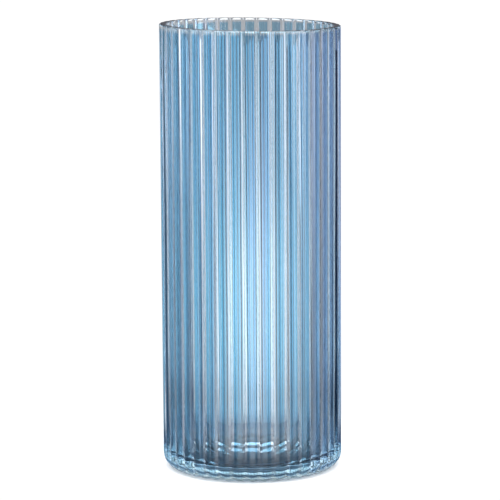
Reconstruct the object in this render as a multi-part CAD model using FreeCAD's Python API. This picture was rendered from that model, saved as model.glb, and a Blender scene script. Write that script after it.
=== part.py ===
import FreeCAD, Part
import math
import os

V = FreeCAD.Vector

# Ribbed glass cylinder vase.
# Millimetres, +Z up. The origin is on the floor, on the axis of the vase.
# One rib crest faces -Y, the front.

# ---- driving dimensions ----
HEIGHT = 250.0            # foot to lip
CREST_D = 101.2           # over the rib crests, colour film included
RIB_COUNT = 40            # convex ribs round the outside, sharp furrows between
RIB_DEPTH = 1.0           # crest to furrow, radially
FILM_T = 0.15             # colour film on the outside of the wall
BORE_D = 92.8             # smooth inside
FLOOR_Z = 7.5             # top of the thick glass floor
HEEL_R = 8.2              # rounding from the wall to the underside
FLOOR_FILLET = 6.5        # inside corner between wall and floor
BASE_TOP = 15.0           # the wall stands on the base at this height
LIP_R = 0.8               # fire-polished rounding, outside and inside of the lip
FILM_TOP_GAP = 1.2        # the film stops this far under the lip
FOOT_IN_R = 33.0          # inside radius of the flat foot ring
PUNT_DEPTH = 1.4          # shallow hollow in the underside, at the axis

CREST_R = CREST_D / 2.0
FURROW_R = CREST_R - RIB_DEPTH
BORE_R = BORE_D / 2.0
PITCH = 2.0 * math.pi / RIB_COUNT


def polar(r, a, z):
    return V(r * math.cos(a), r * math.sin(a), z)


def ribbed_prism(inset, z0, z1):
    """Prism over the ribbed outline, each rib one arc between two furrows."""
    rc = CREST_R - inset
    rf = FURROW_R - inset
    edges = []
    for k in range(RIB_COUNT):
        mid = -math.pi / 2.0 + k * PITCH
        a = polar(rf, mid - PITCH / 2.0, z0)
        b = polar(rc, mid, z0)
        c = polar(rf, mid + PITCH / 2.0, z0)
        edges.append(Part.Arc(a, b, c).toShape())
    wire = Part.Wire(edges)
    face = Part.Face(wire)
    return face.extrude(V(0, 0, z1 - z0))


def revolved(edges):
    """Closed half profile in the XZ plane, turned about Z."""
    face = Part.Face(Part.Wire(edges))
    return face.revolve(V(0, 0, 0), V(0, 0, 1), 360)


def line(a, b):
    return Part.LineSegment(V(a[0], 0, a[1]), V(b[0], 0, b[1])).toShape()


def arc(a, m, b):
    return Part.Arc(V(a[0], 0, a[1]), V(m[0], 0, m[1]), V(b[0], 0, b[1])).toShape()


def mid_on(cx, cz, r, deg):
    t = math.radians(deg)
    return (cx + r * math.cos(t), cz + r * math.sin(t))


def envelope(inset):
    """Round outside limit: heel rounding below, lip rounding above."""
    r = CREST_R - inset
    heel = HEEL_R
    pts = [
        line((0, 0), (r - heel, 0)),
        arc((r - heel, 0), mid_on(r - heel, heel, heel, -45), (r, heel)),
        line((r, heel), (r, HEIGHT - LIP_R)),
        arc((r, HEIGHT - LIP_R), mid_on(r - LIP_R, HEIGHT - LIP_R, LIP_R, 45), (r - LIP_R, HEIGHT)),
        line((r - LIP_R, HEIGHT), (0, HEIGHT)),
        line((0, HEIGHT), (0, 0)),
    ]
    return revolved(pts)


def cavity():
    """Everything inside the vase: smooth bore, filleted floor, eased mouth."""
    f = FLOOR_FILLET
    top = HEIGHT + 5.0
    pts = [
        line((0, FLOOR_Z), (BORE_R - f, FLOOR_Z)),
        arc((BORE_R - f, FLOOR_Z), mid_on(BORE_R - f, FLOOR_Z + f, f, -45), (BORE_R, FLOOR_Z + f)),
        line((BORE_R, FLOOR_Z + f), (BORE_R, HEIGHT - LIP_R)),
        arc((BORE_R, HEIGHT - LIP_R), mid_on(BORE_R + LIP_R, HEIGHT - LIP_R, LIP_R, 135), (BORE_R + LIP_R, HEIGHT)),
        line((BORE_R + LIP_R, HEIGHT), (BORE_R + LIP_R, top)),
        line((BORE_R + LIP_R, top), (0, top)),
        line((0, top), (0, FLOOR_Z)),
    ]
    return revolved(pts)


def punt():
    """Shallow domed hollow under the floor, inside the foot ring."""
    h = PUNT_DEPTH
    a = FOOT_IN_R
    rs = (a * a + h * h) / (2.0 * h)
    m = (a * 0.5, h - (rs - math.sqrt(rs * rs - 0.25 * a * a)))
    pts = [
        arc((0, h), m, (a, 0)),
        line((a, 0), (a, -2.0)),
        line((a, -2.0), (0, -2.0)),
        line((0, -2.0), (0, h)),
    ]
    return revolved(pts)


def write(shape, name):
    solids = shape.Solids
    if len(solids) == 1:
        shape = solids[0]
    if not shape.isValid():
        raise RuntimeError(name + " is not a valid solid")
    bb = shape.BoundBox
    print("%-12s solids %d  faces %d  volume %.1f mm3  z %.3f..%.3f  x %.3f..%.3f  y %.3f..%.3f" % (
        name, len(solids), len(shape.Faces), shape.Volume, bb.ZMin, bb.ZMax, bb.XMin, bb.XMax, bb.YMin, bb.YMax))
    shape.exportStep("parts/" + name + ".step")
    return shape


os.makedirs("parts", exist_ok=True)

hollow = cavity()

# Thick glass bottom: foot ring, shallow punt, rounded heel that the ribs run
# down onto, flat floor with a filleted corner, and a short collar of wall.
base = ribbed_prism(0.0, 0.0, BASE_TOP).common(envelope(0.0)).cut(hollow).cut(punt())
base = write(base, "glass_base")

# Ribbed sleeve of glass that stands on the base and ends in the lip.
wall = ribbed_prism(FILM_T, BASE_TOP, HEIGHT).common(envelope(FILM_T)).cut(hollow)
wall = write(wall, "ribbed_wall")

# Blue film on the outside of the sleeve, from the base to just under the lip.
film_top = HEIGHT - FILM_TOP_GAP
film = ribbed_prism(0.0, BASE_TOP, film_top).cut(ribbed_prism(FILM_T, BASE_TOP - 1.0, film_top + 1.0))
film = write(film, "colour_film")

for a, b, n in ((base, wall, "base/wall"), (base, film, "base/film"), (wall, film, "wall/film")):
    print(n, "shared volume %.6f mm3" % a.common(b).Volume)
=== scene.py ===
import math

import bpy
import numpy as np
from mathutils import Matrix, Vector


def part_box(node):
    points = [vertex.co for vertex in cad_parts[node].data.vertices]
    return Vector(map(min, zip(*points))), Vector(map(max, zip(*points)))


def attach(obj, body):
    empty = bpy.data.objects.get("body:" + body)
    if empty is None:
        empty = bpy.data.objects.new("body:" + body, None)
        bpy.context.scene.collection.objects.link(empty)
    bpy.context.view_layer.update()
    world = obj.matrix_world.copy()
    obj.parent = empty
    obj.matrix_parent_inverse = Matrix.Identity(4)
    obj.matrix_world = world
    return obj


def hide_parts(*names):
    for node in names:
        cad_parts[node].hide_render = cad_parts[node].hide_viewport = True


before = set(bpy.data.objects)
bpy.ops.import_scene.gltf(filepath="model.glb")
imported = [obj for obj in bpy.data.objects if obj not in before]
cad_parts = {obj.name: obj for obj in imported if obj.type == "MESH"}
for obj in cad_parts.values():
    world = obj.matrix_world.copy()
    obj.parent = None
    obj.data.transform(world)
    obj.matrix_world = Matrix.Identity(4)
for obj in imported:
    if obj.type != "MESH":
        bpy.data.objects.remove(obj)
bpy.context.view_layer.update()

MM = 0.001

# ---------------------------------------------------------------- dimensions
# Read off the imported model, so the glass stays the size that the CAD gives it.
lo_w, hi_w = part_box("ribbed_wall")
lo_f, hi_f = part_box("colour_film")
lo_b, hi_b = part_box("glass_base")
HEIGHT = float(hi_w[2]) / MM
CREST_R = 0.5 * float(hi_f[1] - lo_f[1]) / MM
RIBS = 40
RIB_DEPTH = 1.0
PITCH = 2.0 * math.pi / RIBS
BORE_R = 46.4
FLOOR_Z = 7.5
HEEL_R = 8.2
FILLET = 6.5
LIP_R = 0.8
FOOT_IN_R = 33.0
PUNT = 1.4
FURROW_SOFT = 0.16        # the furrows are a little rounded, in mm of depth


# ---------------------------------------------------------------- the glass
def rib_inset(phi):
    """Depth of the ribbed outline below the crest circle, by angle from a crest."""
    rf = CREST_R - RIB_DEPTH
    half = PITCH / 2.0
    # circle through furrow, crest, furrow
    chord = rf * math.sin(half)
    sag = CREST_R - rf * math.cos(half)
    ra = (chord * chord + sag * sag) / (2.0 * sag)
    c = CREST_R - ra
    r = c * np.cos(phi) + np.sqrt(ra * ra - (c * np.sin(phi)) ** 2)
    d = CREST_R - r
    # smooth minimum with the depth just above the furrow: a small radius there
    k = FURROW_SOFT
    top = RIB_DEPTH - 0.35 * k
    h = np.clip(0.5 + 0.5 * (top - d) / k, 0.0, 1.0)
    return d * h + top * (1.0 - h) - k * h * (1.0 - h)


def wave(theta, z, terms):
    """Sum of smooth ripples: (amplitude, turns, phase, z waves per metre, z phase)."""
    s = np.zeros_like(theta)
    for amp, n, ph, kz, pz in terms:
        s = s + amp * np.sin(n * theta + ph + 0.9 * math.sin(kz * z * MM + pz)) * math.cos(0.37 * kz * z * MM + 1.7 * pz)
    return s


# thickness of the glass wanders a little, as it does in pressed glass
BORE_RIPPLE = [
    (0.090, 2, 0.4, 9.0, 0.3),
    (0.070, 3, 2.1, 14.0, 1.1),
    (0.050, 5, 4.0, 11.0, 2.3),
    (0.040, 9, 1.3, 19.0, 0.7),
    (0.034, 14, 5.1, 16.0, 2.9),
    (0.028, 21, 2.7, 23.0, 1.9),
    (0.020, 29, 0.6, 27.0, 4.1),
    (0.014, 37, 3.6, 31.0, 5.2),
]
CREST_RIPPLE = [
    (0.060, 4, 1.0, 7.0, 0.2),
    (0.045, 11, 3.3, 12.0, 1.4),
    (0.035, 17, 0.2, 18.0, 2.2),
]
ANGLE_RIPPLE = [
    (0.0036, 3, 0.7, 6.0, 1.0),
    (0.0026, 8, 2.2, 10.0, 0.4),
    (0.0020, 13, 5.0, 15.0, 3.0),
]

SEG_RIB = 16
NTH = RIBS * SEG_RIB


def theta_row():
    """Angles with the points crowded towards the furrows."""
    u = (np.arange(SEG_RIB) / SEG_RIB) * 2.0 - 1.0           # -1 .. 1 across one rib
    loc = np.sin(u * math.pi / 2.0 * 0.82) / math.sin(math.pi / 2.0 * 0.82)
    rows = []
    for k in range(RIBS):
        rows.append(-math.pi / 2.0 + (k + 0.5 * loc) * PITCH)
    phi = np.tile(0.5 * loc * PITCH, RIBS)
    return np.concatenate(rows), phi


TH, PHI = theta_row()
INSET = rib_inset(PHI)


def fade_z(z, a, b):
    t = min(max((z - a) / (b - a), 0.0), 1.0)
    return t * t * (3.0 - 2.0 * t)


def outer_ring(r0, z0, nr, nz, amp):
    """One ring of the ribbed outside; the ribs are sunk along the surface normal."""
    live = fade_z(z0, 6.0, 30.0) * (1.0 - fade_z(z0, HEIGHT - 10.0, HEIGHT - 2.0) * 0.5)
    th = TH + wave(TH, z0, ANGLE_RIPPLE) * live
    d = INSET * amp + np.maximum(wave(TH, z0, CREST_RIPPLE) + 0.05, 0.0) * live
    r = r0 - d * nr
    z = z0 - d * nz
    return np.stack([r * np.cos(th), r * np.sin(th), np.full_like(th, 0.0) + z], axis=1)


def plain_ring(r0, z0, ripple=0.0, zr=0.0):
    r = r0 + wave(TH, z0, BORE_RIPPLE) * ripple
    z = z0 + zr * wave(TH, 40.0 + r0, BORE_RIPPLE)
    th = TH + wave(TH, z0, ANGLE_RIPPLE) * 0.0
    return np.stack([r * np.cos(th), r * np.sin(th), z + 0.0 * th], axis=1)


rings = []
# underside: shallow punt, from near the axis out to the foot ring
rs = (FOOT_IN_R ** 2 + PUNT ** 2) / (2.0 * PUNT)
for r in (1.2, 4.0, 8.0, 12.5, 17.0, 21.5, 26.0, 30.0, 32.6):
    z = PUNT - (rs - math.sqrt(rs * rs - r * r))
    rings.append(plain_ring(r, z))
for r, z in ((33.6, 0.02), (35.0, 0.0), (37.5, 0.0), (40.0, 0.0), (42.1, 0.0)):
    rings.append(plain_ring(r, z))
# heel: the ribs run on round it and die out on the foot
heel_n = 20
for i in range(heel_n + 1):
    a = math.radians(-90.0 + 90.0 * i / heel_n)
    amp = fade_z(i / heel_n, -0.03, 0.20)
    rings.append(outer_ring(CREST_R - HEEL_R + HEEL_R * math.cos(a), HEEL_R + HEEL_R * math.sin(a),
                            math.cos(a), math.sin(a), amp))
# wall; rings close to the heel and the lip keep the shading straight between them
wall_n = 40
wall_z = [HEEL_R + (HEIGHT - LIP_R - HEEL_R) * i / wall_n for i in range(1, wall_n)]
wall_z = [HEEL_R + 0.3, HEEL_R + 1.2] + wall_z + [HEIGHT - LIP_R - 1.0, HEIGHT - LIP_R - 0.2, HEIGHT - LIP_R]
for z in wall_z:
    rings.append(outer_ring(CREST_R, z, 1.0, 0.0, 1.0))
# lip, outside rounding
for i in range(1, 6):
    a = math.radians(90.0 * i / 5)
    rings.append(outer_ring(CREST_R - LIP_R + LIP_R * math.cos(a), HEIGHT - LIP_R + LIP_R * math.sin(a), 1.0, 0.0, 1.0))
# lip, ground land; the ribbed outline eases into the round bore across it
rin = BORE_R + LIP_R
for t in (0.35, 0.7, 1.0):
    o = rings[-1] if t == 0.35 else o_first
    if t == 0.35:
        o_first = rings[-1].copy()
        o = o_first
    inner = plain_ring(rin, HEIGHT)
    rings.append(o * (1.0 - t) + inner * t)
# lip, inside rounding
for i in range(1, 6):
    a = math.radians(90.0 + 90.0 * i / 5)
    rings.append(plain_ring(BORE_R + LIP_R + LIP_R * math.cos(a), HEIGHT - LIP_R + LIP_R * math.sin(a)))
# bore, down to the floor's filleted corner; the wall thickens a little low down
bore_n = 30
z_hi, z_lo = HEIGHT - LIP_R, FLOOR_Z + FILLET
bore_z = [z_hi + (z_lo - z_hi) * i / bore_n for i in range(1, bore_n)]
bore_z = [z_hi - 0.2, z_hi - 1.0] + bore_z + [z_lo + 1.2, z_lo + 0.3, z_lo]
for z in bore_z:
    live = fade_z(z, FLOOR_Z + 6.0, FLOOR_Z + 26.0) * (1.0 - fade_z(z, HEIGHT - 14.0, HEIGHT - 3.0))
    thick = 0.25 * (1.0 - fade_z(z, 12.0, 70.0))
    rings.append(plain_ring(BORE_R - thick, z, ripple=live))
for i in range(1, 15):
    a = math.radians(0.0 - 90.0 * i / 14)
    rings.append(plain_ring(BORE_R - 0.25 - FILLET + FILLET * math.cos(a), FLOOR_Z + FILLET + FILLET * math.sin(a)))
for r in (39.4, 37.5, 33.0, 27.5, 22.0, 16.5, 11.0, 6.0, 2.0):
    rings.append(plain_ring(r, FLOOR_Z, zr=0.5 * fade_z(39.4 - r, 0.0, 8.0)))

verts = np.concatenate(rings)
# the lip was cut off a little out of square: it is lower on the right
lean = np.clip((verts[:, 2] - 0.5 * HEIGHT) / (0.5 * HEIGHT), 0.0, 1.0)
verts[:, 2] -= 0.016 * verts[:, 0] * lean * lean * (3.0 - 2.0 * lean)
verts = verts * MM
n_rings = len(rings)
faces = []
for j in range(n_rings - 1):
    a0, b0 = j * NTH, (j + 1) * NTH
    for i in range(NTH):
        i2 = (i + 1) % NTH
        faces.append((a0 + i, a0 + i2, b0 + i2, b0 + i))
cv = len(verts)
verts = np.concatenate([verts, [[0.0, 0.0, PUNT * MM], [0.0, 0.0, FLOOR_Z * MM]]])
last = (n_rings - 1) * NTH
for i in range(NTH):
    i2 = (i + 1) % NTH
    faces.append((cv, i2, i))
    faces.append((cv + 1, last + i, last + i2))

mesh = bpy.data.meshes.new("vase_glass")
mesh.from_pydata([tuple(v) for v in verts], [], faces)
mesh.validate()
mesh.update()
mesh.polygons.foreach_set("use_smooth", [True] * len(mesh.polygons))
vase = bpy.data.objects.new("vase_glass", mesh)
bpy.context.scene.collection.objects.link(vase)
print("vase_glass triangles", 2 * len(faces) - 2 * NTH)


# ---------------------------------------------------------------- materials
def new_material(name):
    m = bpy.data.materials.new(name)
    m.use_nodes = True
    nt = m.node_tree
    for n in list(nt.nodes):
        nt.nodes.remove(n)
    out = nt.nodes.new("ShaderNodeOutputMaterial")
    return m, nt, out


def math_node(nt, op, a=None, b=None, c=None, clamp=False):
    n = nt.nodes.new("ShaderNodeMath")
    n.operation = op
    n.use_clamp = clamp
    for k, v in enumerate((a, b, c)):
        if v is None:
            continue
        if isinstance(v, (int, float)):
            n.inputs[k].default_value = v
        else:
            nt.links.new(v, n.inputs[k])
    return n.outputs[0]


def ramp01(nt, value, a, b):
    n = nt.nodes.new("ShaderNodeMapRange")
    n.interpolation_type = "SMOOTHSTEP"
    n.clamp = True
    nt.links.new(value, n.inputs["Value"])
    n.inputs["From Min"].default_value = a
    n.inputs["From Max"].default_value = b
    n.inputs["To Min"].default_value = 0.0
    n.inputs["To Max"].default_value = 1.0
    return n.outputs["Result"]


def mix_color(nt, fac, a, b):
    n = nt.nodes.new("ShaderNodeMix")
    n.data_type = "RGBA"
    n.blend_type = "MIX"
    for sock, v in ((n.inputs[0], fac), (n.inputs[6], a), (n.inputs[7], b)):
        if isinstance(v, tuple):
            sock.default_value = v
        elif isinstance(v, (int, float)):
            sock.default_value = v
        else:
            nt.links.new(v, sock)
    return n.outputs[2]


def noise(nt, vec, scale, detail=2.0, rough=0.5, dist=0.0):
    n = nt.nodes.new("ShaderNodeTexNoise")
    n.inputs["Scale"].default_value = scale
    n.inputs["Detail"].default_value = detail
    n.inputs["Roughness"].default_value = rough
    n.inputs["Distortion"].default_value = dist
    nt.links.new(vec, n.inputs["Vector"])
    return n.outputs["Fac"]


BLUE_A = (0.085, 0.330, 0.535, 1.0)
BLUE_B = (0.150, 0.420, 0.67, 1.0)
LILAC = (0.24, 0.38, 0.73, 1.0)
# the near-clear tint below is painted into the furrows as a painted highlight; the two depths after it set where that
# painted highlight starts and is full
FURROW_HIGHLIGHT_TINT = (0.88, 0.93, 1.00, 1.0)
HIGHLIGHT_DEPTH_LO, HIGHLIGHT_DEPTH_HI = 0.00038, 0.00056


def glass_material():
    m, nt, out = new_material("blue_ribbed_glass")
    bsdf = nt.nodes.new("ShaderNodeBsdfPrincipled")
    nt.links.new(bsdf.outputs[0], out.inputs["Surface"])
    tc = nt.nodes.new("ShaderNodeTexCoord")
    sep = nt.nodes.new("ShaderNodeSeparateXYZ")
    nt.links.new(tc.outputs["Object"], sep.inputs[0])
    x, y, z = sep.outputs
    rho = math_node(nt, "SQRT", math_node(nt, "ADD", math_node(nt, "MULTIPLY", x, x), math_node(nt, "MULTIPLY", y, y)))
    # the film is on the outside only: it stops under the heel and below the ground lip
    outside = ramp01(nt, rho, 0.0474, 0.0490)
    below_lip = math_node(nt, "SUBTRACT", 1.0, ramp01(nt, z, 0.2470, 0.2490))
    film = math_node(nt, "MULTIPLY", outside, below_lip)
    # and it thins out on its way round the heel
    film = math_node(nt, "MULTIPLY", film, math_node(nt, "ADD", 0.85, math_node(nt, "MULTIPLY", 0.15, ramp01(nt, z, 0.003, 0.016))))
    # depth below the crest circle, followed round the heel: 0 on a crest, about 1 mm in a furrow
    t = math_node(nt, "MAXIMUM", math_node(nt, "SUBTRACT", HEEL_R * MM, z), 0.0)
    under = math_node(nt, "SQRT", math_node(nt, "MAXIMUM", math_node(nt, "SUBTRACT", (HEEL_R * MM) ** 2,
                                                                     math_node(nt, "MULTIPLY", t, t)), 0.0))
    depth = math_node(nt, "SUBTRACT", math_node(nt, "ADD", under, (CREST_R - HEEL_R) * MM), rho)
    # film density runs in long vertical streaks
    mp = nt.nodes.new("ShaderNodeMapping")
    mp.inputs["Scale"].default_value = (1.0, 1.0, 0.05)
    nt.links.new(tc.outputs["Object"], mp.inputs["Vector"])
    streak = noise(nt, mp.outputs[0], 160.0, 3.0, 0.55)
    broad = noise(nt, mp.outputs[0], 34.0, 2.0, 0.5)
    blue = mix_color(nt, ramp01(nt, streak, 0.30, 0.70), BLUE_A, BLUE_B)
    lilac = mix_color(nt, ramp01(nt, broad, 0.50, 0.74), blue, LILAC)
    # painted highlight: the film is made near clear in the furrows, by more in some than in others, so that each furrow
    # reads as a bright line of light
    furrow_highlight_mask = math_node(nt, "MULTIPLY", ramp01(nt, depth, HIGHLIGHT_DEPTH_LO, HIGHLIGHT_DEPTH_HI), ramp01(nt, broad, 0.10, 0.42))
    # painted highlight: the bright furrow lines are weaker low down and fade out towards the base
    furrow_highlight_mask = math_node(nt, "MULTIPLY", furrow_highlight_mask, math_node(nt, "ADD", 0.35, math_node(nt, "MULTIPLY", 0.65, ramp01(nt, z, 0.008, 0.026))))
    film_with_furrow_highlights = mix_color(nt, furrow_highlight_mask, lilac, FURROW_HIGHLIGHT_TINT)
    col = mix_color(nt, film, (0.965, 0.985, 0.985, 1.0), film_with_furrow_highlights)
    nt.links.new(col, bsdf.inputs["Base Color"])
    rough = math_node(nt, "MULTIPLY_ADD", noise(nt, tc.outputs["Object"], 90.0, 3.0), 0.02, 0.0)
    nt.links.new(rough, bsdf.inputs["Roughness"])
    bsdf.inputs["IOR"].default_value = 1.5
    bsdf.inputs["Transmission Weight"].default_value = 1.0
    vol = nt.nodes.new("ShaderNodeVolumeAbsorption")
    vol.inputs["Color"].default_value = (0.80, 0.90, 0.93, 1.0)
    vol.inputs["Density"].default_value = 6.0
    nt.links.new(vol.outputs[0], out.inputs["Volume"])
    return m


vase.data.materials.append(glass_material())
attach(vase, "root")
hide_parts("ribbed_wall", "glass_base", "colour_film")

# ---------------------------------------------------------------- the stage
FLOOR_R = 0.16
nf = 96
fv = [(0.0, 0.0, 0.0)]
ff = []
radii = (0.03, 0.06, 0.09, 0.12, FLOOR_R)
for r in radii:
    for i in range(nf):
        a = 2.0 * math.pi * i / nf
        fv.append((r * math.cos(a), r * math.sin(a), 0.0))
for i in range(nf):
    ff.append((0, 1 + i, 1 + (i + 1) % nf))
for k in range(len(radii) - 1):
    for i in range(nf):
        i2 = (i + 1) % nf
        a0, b0 = 1 + k * nf, 1 + (k + 1) * nf
        ff.append((a0 + i, b0 + i, b0 + i2, a0 + i2))
fm = bpy.data.meshes.new("studio_floor")
fm.from_pydata(fv, [], ff)
fm.update()
floor = bpy.data.objects.new("studio_floor", fm)
floor.location = (0.0, 0.0, -0.00005)
bpy.context.scene.collection.objects.link(floor)
m, nt, out = new_material("studio_paper")
bsdf = nt.nodes.new("ShaderNodeBsdfPrincipled")
nt.links.new(bsdf.outputs[0], out.inputs["Surface"])
tc = nt.nodes.new("ShaderNodeTexCoord")
pap = noise(nt, tc.outputs["Object"], 400.0, 2.0)
# painted shade: the paper is pale to the camera but near black to rays that reach it through or off the glass, which
# darkens the glass base
lpf = nt.nodes.new("ShaderNodeLightPath")
nt.links.new(mix_color(nt, lpf.outputs["Is Camera Ray"], (0.08, 0.09, 0.12, 1.0),
                       mix_color(nt, pap, (0.93, 0.93, 0.93, 1.0), (0.95, 0.95, 0.95, 1.0))), bsdf.inputs["Base Color"])
bsdf.inputs["Roughness"].default_value = 0.9
bsdf.inputs["Specular IOR Level"].default_value = 0.1
# the paper runs out softly, so that no edge of it is seen through the glass
sepf = nt.nodes.new("ShaderNodeSeparateXYZ")
nt.links.new(tc.outputs["Object"], sepf.inputs[0])
rf = math_node(nt, "SQRT", math_node(nt, "ADD", math_node(nt, "MULTIPLY", sepf.outputs[0], sepf.outputs[0]),
                                     math_node(nt, "MULTIPLY", sepf.outputs[1], sepf.outputs[1])))
nt.links.new(math_node(nt, "SUBTRACT", 1.0, ramp01(nt, rf, 0.062, FLOOR_R - 0.005)), bsdf.inputs["Alpha"])
fm.materials.append(m)

# ---------------------------------------------------------------- light
world = bpy.data.worlds.new("studio")
bpy.context.scene.world = world
world.use_nodes = True
wt = world.node_tree
for n in list(wt.nodes):
    wt.nodes.remove(n)
wo = wt.nodes.new("ShaderNodeOutputWorld")
bg_light = wt.nodes.new("ShaderNodeBackground")
bg_cam = wt.nodes.new("ShaderNodeBackground")
bg_cam.inputs["Color"].default_value = (1.0, 1.0, 1.0, 1.0)
bg_cam.inputs["Strength"].default_value = 1.05
lp = wt.nodes.new("ShaderNodeLightPath")
mx = wt.nodes.new("ShaderNodeMixShader")
wt.links.new(lp.outputs["Is Camera Ray"], mx.inputs[0])
wt.links.new(bg_light.outputs[0], mx.inputs[1])
wt.links.new(bg_cam.outputs[0], mx.inputs[2])
wt.links.new(mx.outputs[0], wo.inputs["Surface"])
tcw = wt.nodes.new("ShaderNodeTexCoord")
sx = wt.nodes.new("ShaderNodeSeparateXYZ")
wt.links.new(tcw.outputs["Generated"], sx.inputs[0])
dx, dy, dz = sx.outputs
lat = math_node(wt, "MULTIPLY", math_node(wt, "ARCTAN2", dx, dy), 180.0 / math.pi)   # 0 behind the vase, + to the right
side = math_node(wt, "ABSOLUTE", lat)


def panel(a0, a1, b0, b1, along=None):
    """1 between the angles a1 and b0, falling softly to 0 at a0 and b1."""
    v = lat if along is None else along
    return math_node(wt, "MULTIPLY", ramp01(wt, v, a0, a1), math_node(wt, "SUBTRACT", 1.0, ramp01(wt, v, b0, b1)))


def over(base, fac, col):
    return mix_color(wt, fac, base, col)


def by_height(a, b, at_a, at_b):
    """A grey that goes from at_a at the height a of the light's direction to at_b at b."""
    return mix_color(wt, ramp01(wt, dz, a, b), at_a, at_b)


# the dark room, a little lighter on the left
room = mix_color(wt, ramp01(wt, lat, -20.0, 20.0), (0.07, 0.09, 0.14, 1.0), (0.012, 0.018, 0.035, 1.0))
# three cards behind the vase with dark gaps between them; the middle one is brightest half-way down
glow = math_node(wt, "MULTIPLY", ramp01(wt, dz, -0.224, -0.185), math_node(wt, "SUBTRACT", 1.0, ramp01(wt, dz, -0.172, -0.125)))
card = mix_color(wt, glow, (0.84, 0.84, 0.85, 1.0), (1.20, 1.17, 1.12, 1.0))
card_l = by_height(-0.18, -0.09, (0.32, 0.33, 0.36, 1.0), (1.45, 1.45, 1.50, 1.0))
card_r = by_height(-0.19, -0.12, (0.60, 0.60, 0.62, 1.0), (0.85, 0.85, 0.88, 1.0))
# soft boxes: a tall one on the right, a weaker one on the left, and a low one at the front
box_r = by_height(-0.20, -0.09, (1.8, 1.8, 1.9, 1.0), (3.6, 3.6, 3.8, 1.0))
box_l = (2.2, 2.2, 2.4, 1.0)
box_f = by_height(-0.18, -0.08, (3.6, 3.6, 3.6, 1.0), (0.8, 0.8, 0.85, 1.0))
lum = over(room, panel(-24.0, -20.0, 15.0, 18.0), (0.15, 0.16, 0.19, 1.0))
lum = over(lum, panel(-13.0, -8.0, 8.0, 13.0), card)
lum = over(lum, panel(-37.0, -35.0, -26.0, -24.0), card_l)
lum = over(lum, panel(25.0, 27.0, 35.0, 37.0), card_r)
# a thin strip far out, which lights the furrows near the left edge
lum = over(lum, panel(-78.0, -75.0, -64.0, -61.0), by_height(-0.17, -0.11, (0.30, 0.32, 0.38, 1.0), (1.15, 1.18, 1.25, 1.0)))
# above the cards, seen through the far rim alone, the wall behind is an even grey
lum = over(lum, math_node(wt, "MULTIPLY", ramp01(wt, dz, -0.0802, -0.0790), math_node(wt, "SUBTRACT", 1.0, ramp01(wt, side, 50.0, 70.0))),
           (0.35, 0.35, 0.36, 1.0))
lum = over(lum, panel(96.0, 104.0, 134.0, 142.0), box_r)
lum = over(lum, panel(-130.0, -126.0, -114.0, -110.0), box_l)
lum = over(lum, ramp01(wt, side, 140.0, 168.0), box_f)
mid = mix_color(wt, ramp01(wt, dz, -0.02, 0.03), lum,
                mix_color(wt, ramp01(wt, side, 85.0, 110.0), (0.14, 0.14, 0.16, 1.0), (1.6, 1.6, 1.65, 1.0)))
top = mix_color(wt, ramp01(wt, dz, 0.60, 0.80), mid, (2.6, 2.6, 2.6, 1.0))
wt.links.new(top, bg_light.inputs["Color"])
bg_light.inputs["Strength"].default_value = 1.22

# ---------------------------------------------------------------- camera
cam_data = bpy.data.cameras.new("camera")
cam = bpy.data.objects.new("camera", cam_data)
bpy.context.scene.collection.objects.link(cam)
D = 2.0 * CREST_R * MM
F_PX = 2724.0
cam_data.sensor_width = 36.0
cam_data.lens = F_PX * 36.0 / 500.0
cam_data.clip_start = 0.05
cam_data.clip_end = 50.0
pitch = math.radians(9.138)
yaw = math.radians(-0.027)
roll = math.radians(-0.352)
pos = Vector((0.0, -14.95 * D, 3.620 * D))
fwd = Vector((math.sin(yaw) * math.cos(pitch), math.cos(yaw) * math.cos(pitch), -math.sin(pitch)))
right = Vector((math.cos(yaw), -math.sin(yaw), 0.0))
upv = right.cross(fwd)
# image turned by roll: the picture's right and up axes in the world
r2 = right * math.cos(roll) - upv * math.sin(roll) * -1.0
u2 = upv * math.cos(roll) + right * math.sin(roll) * -1.0
mat = Matrix((
    (r2.x, u2.x, -fwd.x, pos.x),
    (r2.y, u2.y, -fwd.y, pos.y),
    (r2.z, u2.z, -fwd.z, pos.z),
    (0.0, 0.0, 0.0, 1.0),
))
cam.matrix_world = mat
bpy.context.scene.camera = cam

sc = bpy.context.scene
sc.view_settings.view_transform = "Standard"
sc.view_settings.look = "None"
sc.view_settings.exposure = 0.0
sc.view_settings.gamma = 1.0
sc.cycles.max_bounces = 32
sc.cycles.transmission_bounces = 32
sc.cycles.glossy_bounces = 16
sc.cycles.diffuse_bounces = 4
sc.cycles.transparent_max_bounces = 16
sc.cycles.use_denoising = True
sc.cycles.seed = 7
